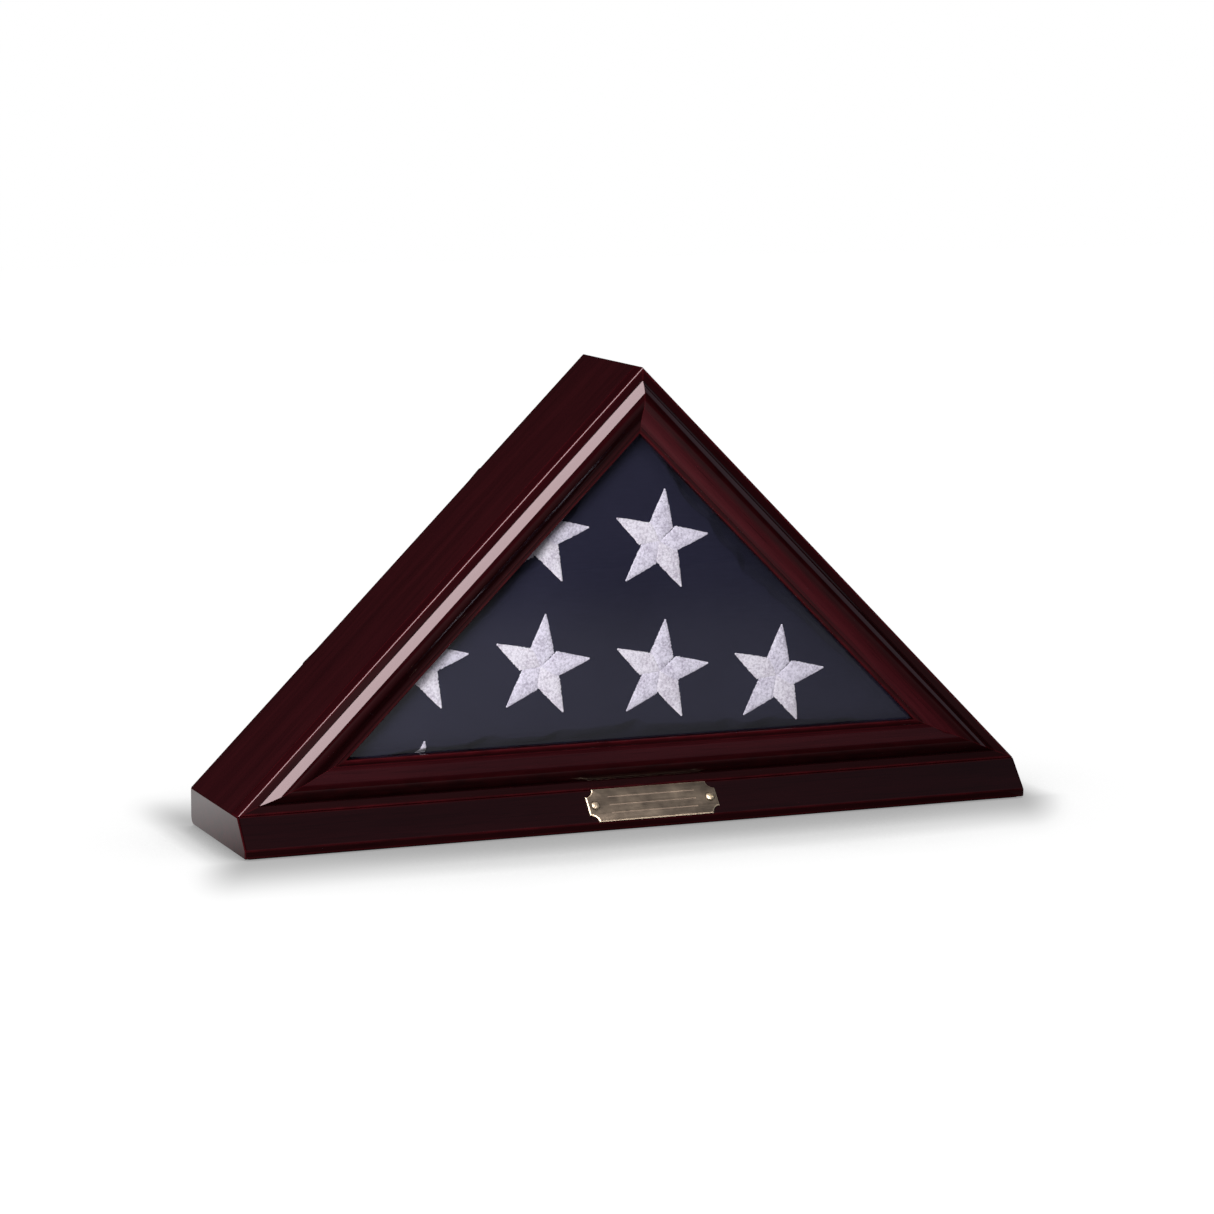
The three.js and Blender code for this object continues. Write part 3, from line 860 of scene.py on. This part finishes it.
FLAG_SLACK = 4.0 * MM
LAYERS = 10
EDGE_ROLL = 36 * MM
EDGE_DROP = 11 * MM


def flag_planes():
    """Inward normals and a point of each of the five flat walls that the flag fills."""
    slope = FLAG_INSET + 0.2 * MM
    left, apex, right = corner("left", slope), corner("apex", slope), corner("right", slope)
    half = math.sqrt(0.5)
    return [
        (Vector((0, 1, 0)), Vector((0, FLAG_LOW.y, 0))),
        (Vector((0, -1, 0)), Vector((0, FLAG_HIGH.y, 0))),
        (Vector((0, 0, 1)), Vector((0, 0, left.y))),
        (Vector((half, 0, -half)), Vector((apex.x, 0, apex.y))),
        (Vector((-half, 0, -half)), Vector((right.x, 0, right.y))),
    ]


def flag_blank():
    """The flag's solid, made smaller by the slack that the cloth takes up, in even squares."""
    mesh = nodes["folded_flag"].data.copy()
    mesh.materials.clear()
    centre = Vector((0, (FLAG_LOW.y + FLAG_HIGH.y) / 2, FLAG_LOW.z + (FLAG_HIGH.z - FLAG_LOW.z) * 0.41))
    shares = [1 - 1.6 * FLAG_SLACK / (high - low) for low, high in zip(FLAG_LOW, FLAG_HIGH)]
    shares[1] = 1 - 2 * FLAG_SLACK / (FLAG_HIGH.y - FLAG_LOW.y)
    for vertex in mesh.vertices:
        offset = vertex.co - centre
        vertex.co = centre + Vector([offset[i] * shares[i] for i in range(3)])
    piece = bpy.data.objects.new("flag_folded_cotton", mesh)
    bpy.context.scene.collection.objects.link(piece)
    weld = piece.modifiers.new("weld", "WELD")
    weld.merge_threshold = 0.01 * MM
    remesh = piece.modifiers.new("remesh", "REMESH")
    remesh.mode = "VOXEL"
    remesh.voxel_size = 5 * MM
    settle(piece)
    return piece


def inflate(piece):
    """Swells the blank as cloth round its stuffing, and keeps each point near where it was."""
    rest = [v.co.copy() for v in piece.data.vertices]
    cloth = piece.modifiers.new("cloth", "CLOTH")
    cloth.settings.quality = 5
    cloth.settings.use_pressure = True
    cloth.settings.uniform_pressure_force = 4
    cloth.settings.effector_weights.gravity = 0
    cloth.point_cache.frame_start = 1
    cloth.point_cache.frame_end = 20
    for number in range(1, 21):
        bpy.context.scene.frame_set(number)
    settle(piece)
    bpy.context.scene.frame_set(1)
    reach = 3 * FLAG_SLACK
    for vertex, start in zip(piece.data.vertices, rest):
        moved = vertex.co - start
        if moved.length > reach:
            vertex.co = start + moved * (reach / moved.length)


def press_flat(mesh):
    """Keeps the cloth inside the walls of the case, so that it lies flat where it meets them."""
    planes = flag_planes()
    for vertex in mesh.vertices:
        for normal, point in planes:
            beyond = (point - vertex.co).dot(normal)
            if beyond > 0:
                vertex.co += normal * beyond


def roll_edges(mesh):
    """Rounds the broad faces back towards the folded edges, so that the flag is fullest inside."""
    middle, half = (FLAG_LOW.y + FLAG_HIGH.y) / 2, (FLAG_HIGH.y - FLAG_LOW.y) / 2
    edges = flag_planes()[2:]
    for vertex in mesh.vertices:
        from_edge = min((vertex.co - point).dot(normal) for normal, point in edges)
        share = min(1, max(0, from_edge / EDGE_ROLL))
        drop = EDGE_DROP * (1 - math.sin(math.pi / 2 * share))
        vertex.co.y = middle + (vertex.co.y - middle) * (1 - drop / half)


def fold_layers(mesh):
    """Creases the narrow sides between the flag's folded layers, and ripples the broad faces."""
    depth = FLAG_HIGH.y - FLAG_LOW.y
    crease = 2.6 * MM
    normals = [n.vector.copy() for n in mesh.vertex_normals]
    for vertex, normal in zip(mesh.vertices, normals):
        sideways = math.hypot(normal.x, normal.z)
        wander = noise.noise(vertex.co * 9) * 0.35 + noise.noise(vertex.co * 30) * 0.12
        layer = (vertex.co.y - FLAG_LOW.y) / depth * LAYERS + wander
        valley = 1 - math.sqrt(abs(math.sin(math.pi * layer)))
        uneven = 0.6 + 0.5 * noise.noise(vertex.co * 14 + Vector((5, 1, 3)))
        inwards = crease * valley * uneven * sideways ** 4
        inwards += 0.4 * MM * sideways * max(0, noise.noise(vertex.co * 22))
        ripple = abs(normal.y) ** 4 * 0.25 * MM * (1 + noise.noise(vertex.co * 16))
        vertex.co -= normal * (inwards + ripple)


def folded_flag():
    """The cocked hat of navy cotton: swollen, pressed into the case, and creased into layers."""
    piece = flag_blank()
    inflate(piece)
    finer = piece.modifiers.new("finer", "SUBSURF")
    finer.levels = 2
    settle(piece)
    press_flat(piece.data)
    roll_edges(piece.data)
    fold_layers(piece.data)
    press_flat(piece.data)
    piece.data.materials.append(COTTON)
    smooth(piece.data, 180)
    fixed(piece, "folded_flag", "navy_cotton", "folded_flag")
    return piece


# ---- embroidered stars

STAR_RADIUS = 38 * MM
STITCH = 0.62 * MM
STAR_DROP = 8.5 * MM  # how far back a star follows the flag's rolled edges
ARM_STRAY = (3.2, -1.6, 1.6, 0.0, -3.2)  # degrees that each arm is sewn off its even place


def star_arm(turn, chance):
    """One arm of satin stitches: rows across the arm, raised, ragged at their ends."""
    waist_at, waist = 0.315, 0.245
    samples = 3
    rows = int(STAR_RADIUS / STITCH) * samples
    columns = 9
    lean = 0.22
    points, faces = [], []
    rag = [chance.uniform(-0.35, 0.35) * MM for _ in range(rows // samples + 2)]
    for row in range(rows + 1):
        along = row / rows
        if along < waist_at:
            half = waist * along / waist_at
        else:
            share = (1 - along) / (1 - waist_at)
            half = waist * share ** 0.93 + 0.012 * (1 - share)
        stitch = 0.5 + 0.5 * math.cos(2 * math.pi * row / samples)
        edge = half * STAR_RADIUS + rag[row // samples] * min(1, 6 * half) * min(1, 8 * along)
        for column in range(columns + 1):
            across = 2 * column / columns - 1
            dome = math.sqrt(max(0, 1 - across ** 2))
            middle = min(1, 7 * half)
            height = 0.10 + 0.62 * dome * middle + 0.10 * stitch * dome
            groove = min(1, along / 0.06)
            x = along * STAR_RADIUS + lean * across * edge * (1 - along)
            points.append(Vector((x, across * edge, height * groove * MM)))
    for row in range(rows):
        for column in range(columns):
            a = row * (columns + 1) + column
            b = a + columns + 1
            faces.append((a, b, b + 1, a + 1))
    spin = Matrix.Rotation(turn, 3, "Z")
    return [spin @ p for p in points], faces


def star_tip(turn):
    """The knot where the stitches end at an arm's tip."""
    steps, rings, radius = 12, 4, 0.85 * MM
    centre = Vector((math.cos(turn), math.sin(turn), 0)) * (STAR_RADIUS - 0.4 * MM)
    points, faces = [centre + Vector((0, 0, 0.75 * MM))], []
    for ring in range(1, rings + 1):
        fall = math.pi / 2 * ring / rings
        for i in range(steps):
            angle = 2 * math.pi * i / steps
            flat = Vector((math.cos(angle), math.sin(angle), 0)) * radius * math.sin(fall)
            points.append(centre + flat + Vector((0, 0, 0.75 * MM * math.cos(fall))))
    for i in range(steps):
        j = (i + 1) % steps
        faces.append((0, 1 + i, 1 + j))
        for ring in range(rings - 1):
            a, b = 1 + ring * steps, 1 + (ring + 1) * steps
            faces.append((a + i, b + i, b + j, a + j))
    return points, faces


def star(name, centre, tilt, surface, facing, seed):
    """A star laid on the flag's face at (x, z). Its arms take the lighter and the darker thread in turn:
    painted sheen and painted shade for the way the stitches lie.
    """
    chance = random.Random(seed)
    points, faces, sheen_tints = [], [], []
    for arm in range(5):
        turn = math.pi / 2 + tilt + arm * 2 * math.pi / 5 + math.radians(ARM_STRAY[arm])
        for part_points, part_faces in (star_arm(turn, chance), star_tip(turn)):
            start = len(points)
            points += part_points
            faces += [tuple(start + i for i in face) for face in part_faces]
            # Alternate arms take the lit or the shaded thread: painted sheen and painted shade.
            sheen_tints += [(1, 0, 1, 0, 1)[arm]] * len(part_faces)
    laid, kept = [], []
    for point in points:
        from_place = Vector((centre[0] + point.x, -facing, centre[1] + point.y))
        hit, normal, _, _ = surface.ray_cast(from_place, Vector((0, facing, 0)))
        face_y = FLAG_LOW.y if facing > 0 else FLAG_HIGH.y
        on_face = hit is not None and abs(hit.y - face_y) < STAR_DROP
        kept.append(on_face)
        laid.append(hit + Vector((0, -facing * point.z, 0)) if on_face else from_place)
    shown = [i for i, face in enumerate(faces) if all(kept[v] for v in face)]
    piece = mesh_piece(name, laid, [faces[i] for i in shown], [SHEEN_LIT_THREAD, SHADE_THREAD], 60)
    for face, i in zip(piece.data.polygons, shown):
        face.material_index = sheen_tints[i]
    work = bmesh.new()
    work.from_mesh(piece.data)
    loose = [v for v in work.verts if not v.link_faces]
    bmesh.ops.delete(work, geom=loose, context="VERTS")
    if sum(f.normal.y for f in work.faces) * facing > 0:
        bmesh.ops.reverse_faces(work, faces=work.faces)
    work.to_mesh(piece.data)
    work.free()
    fixed(piece, "folded_flag", "white_thread")


def stars(flag):
    """Stars in the flag's own rows and columns, which lie askew on it, on both of its faces."""
    surface = BVHTree.FromObject(flag, bpy.context.evaluated_depsgraph_get())
    for face, facing, seed, tilt, first, row, column, places in (
        ("front", 1, 100, -9.0, (20.9, 108.7), (93.3, -8.9), (-1.0, 95.6),
         [(0, 0), (-1, 0), (1, 0), (-2, 0), (0, 1), (-1, 1), (-2, -1)]),
        ("back", -1, 200, 3.0, (-47, 93.5), (94, 2), (-1, 93),
         [(0, 0), (-1, 0), (1, 0), (2, 0), (0, 1), (1, 1)]),
    ):
        for i, (along, up) in enumerate(places):
            centre = (Vector(first) + Vector(row) * along + Vector(column) * up) * MM
            star(f"star_{face}_{i + 1}", centre, math.radians(tilt), surface, facing, seed + i)


# ---- camera, lights and floor


def camera():
    """Ahead of the case, to its left and a little above it."""
    turn = math.radians(22.285)
    tilt = math.radians(90 - 8.744)
    roll = math.radians(0.2123)
    lens = bpy.data.cameras.new("camera")
    lens.sensor_width = 36
    lens.lens = 115.07
    eye = bpy.data.objects.new("camera", lens)
    bpy.context.scene.collection.objects.link(eye)
    facing = Matrix.Rotation(-turn, 4, "Z") @ Matrix.Rotation(tilt, 4, "X")
    eye.matrix_world = (Matrix.Translation((-1.0714, -2.5984, 0.5843)) @ facing
                        @ Matrix.Rotation(roll, 4, "Z"))
    bpy.context.scene.camera = eye


def soft_light(name, span, distance, width, radiance, colour=(1, 1, 1), seen_by="both"):
    """A rectangular lamp that faces the case. Its long axis spans two directions from the case."""
    target = Vector((0, ARRIS_Y, 0.1625))
    low, high = (Vector(end).normalized() for end in span)
    back = (low + high).normalized()
    up = (high - low).normalized()
    height = 2 * distance * math.tan(low.angle(high) / 2)
    data = bpy.data.lights.new(name, "AREA")
    data.shape = "RECTANGLE"
    data.size, data.size_y = width, height
    data.energy = radiance * math.pi * width * height
    data.color = colour
    lamp = bpy.data.objects.new(name, data)
    bpy.context.scene.collection.objects.link(lamp)
    turn = Matrix((up.cross(back), up, back)).transposed().to_4x4()
    lamp.matrix_world = Matrix.Translation(target + back * distance) @ turn
    lamp.visible_camera = False
    lamp.visible_glossy = seen_by != "diffuse"
    lamp.visible_diffuse = seen_by != "glossy"
    return lamp


def lights():
    """A long softbox ahead and above, dim glows for mirrors only, and fills that they don't see."""
    key = soft_light("key_softbox", ((-0.079, -0.964, 0.257), (-0.612, -0.155, 0.776)), 2.6, 1.15,
                     17.0, colour=(1, 0.76, 0.79), seen_by="glossy")
    soft_light("right_glow", ((0.86, -0.54, 0.12), (0.84, -0.16, 0.56)), 2.6, 0.9, 0.55,
               colour=(0.95, 0.85, 1), seen_by="glossy")
    soft_light("front_glow", ((0.40, -0.72, 0.57), (0.36, -0.12, 0.925)), 2.6, 1.6, 0.13,
               colour=(0.95, 0.85, 1), seen_by="glossy")
    soft_light("left_fill", ((-0.68, -0.72, 0.10), (-0.62, -0.56, 0.62)), 1.5, 0.9, 17.0,
               seen_by="diffuse")
    soft_light("top_fill", ((-0.4, 0.15, 0.9), (0.4, 0.15, 0.9)), 2.4, 2.0, 0.2, seen_by="diffuse")
    behind = ((0.5, 0.8, 0.15), (0.5, 0.7, 0.7))
    soft_light("rear_fill", behind, 3.0, 1.8, 8.0, seen_by="diffuse")
    soft_light("rear_glow", behind, 3.0, 1.8, 1.0, seen_by="glossy")
    lit = bpy.data.collections.new("mirrors_the_softbox")
    for piece in bpy.context.scene.objects:
        if "moulding" in piece.name or "nameplate" in piece.name:
            lit.objects.link(piece)
    key.light_linking.receiver_collection = lit


def world():
    """White to the camera, nearly dark to mirrors, and a soft fill to everything else."""
    sky = bpy.data.worlds.new("studio")
    bpy.context.scene.world = sky
    sky.use_nodes = True
    tree = sky.node_tree
    fill, mirrored, seen = 0.24, 0.008, 1.0
    path = add_node(tree, "ShaderNodeLightPath").outputs
    unseen = add_node(tree, "ShaderNodeMix", {0: path["Is Glossy Ray"], 2: fill, 3: mirrored})
    white = add_node(tree, "ShaderNodeMix", {0: path["Is Camera Ray"], 2: unseen.outputs[0], 3: seen})
    background = tree.nodes["Background"].inputs
    feed(tree, background["Strength"], white.outputs[0])
    feed(tree, background["Color"], (1, 1, 1, 1))


def foot_shadow(shader, x, y):
    """How bright the floor is by the plinth's foot. The shadow falls forwards and to the left."""
    middle, half_depth = (REAR_Y + plinth_low.y) / 2, (REAR_Y - plinth_low.y) / 2
    before = shader.math("MAXIMUM", shader.math("SUBTRACT", plinth_low.y, y), 0.0)
    lean, start, narrowing = 0.43, CASE_HALF - 5 * MM, 2.7
    aside = shader.math("ABSOLUTE", shader.math("MULTIPLY_ADD", before, lean, x))
    aside = shader.math("MAXIMUM", shader.math("SUBTRACT", aside, start), 0.0)
    aside = shader.math("MULTIPLY", aside, narrowing)
    ahead = shader.math("ABSOLUTE", shader.math("SUBTRACT", y, middle))
    ahead = shader.math("MAXIMUM", shader.math("SUBTRACT", ahead, half_depth), 0.0)
    gap = shader.node("ShaderNodeCombineXYZ", {0: aside, 1: ahead}).outputs[0]
    gap = shader.node("ShaderNodeVectorMath", {0: gap}, operation="LENGTH").outputs["Value"]
    reach, darkest = 0.13, 0.44
    return shader.remap(gap, 0.0, reach, darkest, 1.0, interpolation_type="SMOOTHSTEP")


def floor():
    """A white sheet that glows, shaded close to what stands on it, and dimmer where it is mirrored."""
    front, rear, side = ARRIS_Y - 1.2, 6.0, 6.0
    sheet = mesh_piece("floor", [(-side, front, 0), (side, front, 0), (side, rear, 0), (-side, rear, 0)],
                       [(0, 1, 2, 3)], [])
    shader = Shader("studio_floor")
    path = shader.node("ShaderNodeLightPath").outputs
    where = shader.node("ShaderNodeNewGeometry").outputs["Position"]
    x, y = shader.node("ShaderNodeSeparateXYZ", {0: where}).outputs[:2]
    open_sky = shader.node("ShaderNodeAmbientOcclusion", {"Distance": 0.2}, samples=8).outputs["AO"]
    near = shader.remap(open_sky, 0.55, 0.92, 0.32, 1.0)
    seen = shader.math("MINIMUM", near, foot_shadow(shader, x, y))
    ahead = shader.remap(y, -1.25, -0.75, 0.0, 0.22, interpolation_type="SMOOTHSTEP")
    clear_of_lip = shader.remap(y, -0.40, -0.09, 1.0, 0.0)
    ahead = shader.math("MULTIPLY", ahead, clear_of_lip)
    across = shader.remap(x, -0.1, 0.6, 1.0, 0.3)
    behind = shader.remap(y, -0.1, 0.15, 0.0, 0.9)
    aside = shader.math("GREATER_THAN", shader.math("ABSOLUTE", x), CASE_HALF)
    behind = shader.math("MULTIPLY", behind, aside)
    mirrored = shader.math("MULTIPLY_ADD", ahead, across, behind)
    first_bounce = shader.math("LESS_THAN", path["Glossy Depth"], 1.5)
    mirrored = shader.math("MULTIPLY", mirrored, first_bounce)
    glow = shader.node("ShaderNodeMix", {0: path["Is Glossy Ray"], 2: 0.35, 3: mirrored})
    inputs = {0: path["Is Camera Ray"], 2: glow.outputs[0], 3: seen}
    white = shader.node("ShaderNodeMix", inputs)
    shader.set(base_color=(0.02, 0.02, 0.02, 1), roughness=1.0, specular_ior_level=0.0)
    shader.set(emission_color=(1, 1, 1, 1), emission_strength=white.outputs[0])
    sheet.data.materials.append(shader.material)


# ---- the whole scene


def carried_over():
    """CAD nodes whose shape is kept, with their materials."""
    kept = {"felt_base_liner": felt(), "glass_pane": window_glass(), "back_panel": hardboard()}
    kept.update({f"{side}_glass_stop": STAINED for side in SIDES})
    metal = steel()
    kept.update({f"plinth_screw_{i}": metal for i in range(1, 5)})
    for name, material in kept.items():
        nodes[name].material_slots[0].material = material


bpy.context.scene.view_settings.view_transform = "Standard"
camera()
world()
floor()
carried_over()
mouldings()
boards()
plinth()
nameplate()
plate_screws()
turn_buttons()
stars(folded_flag())
lights()
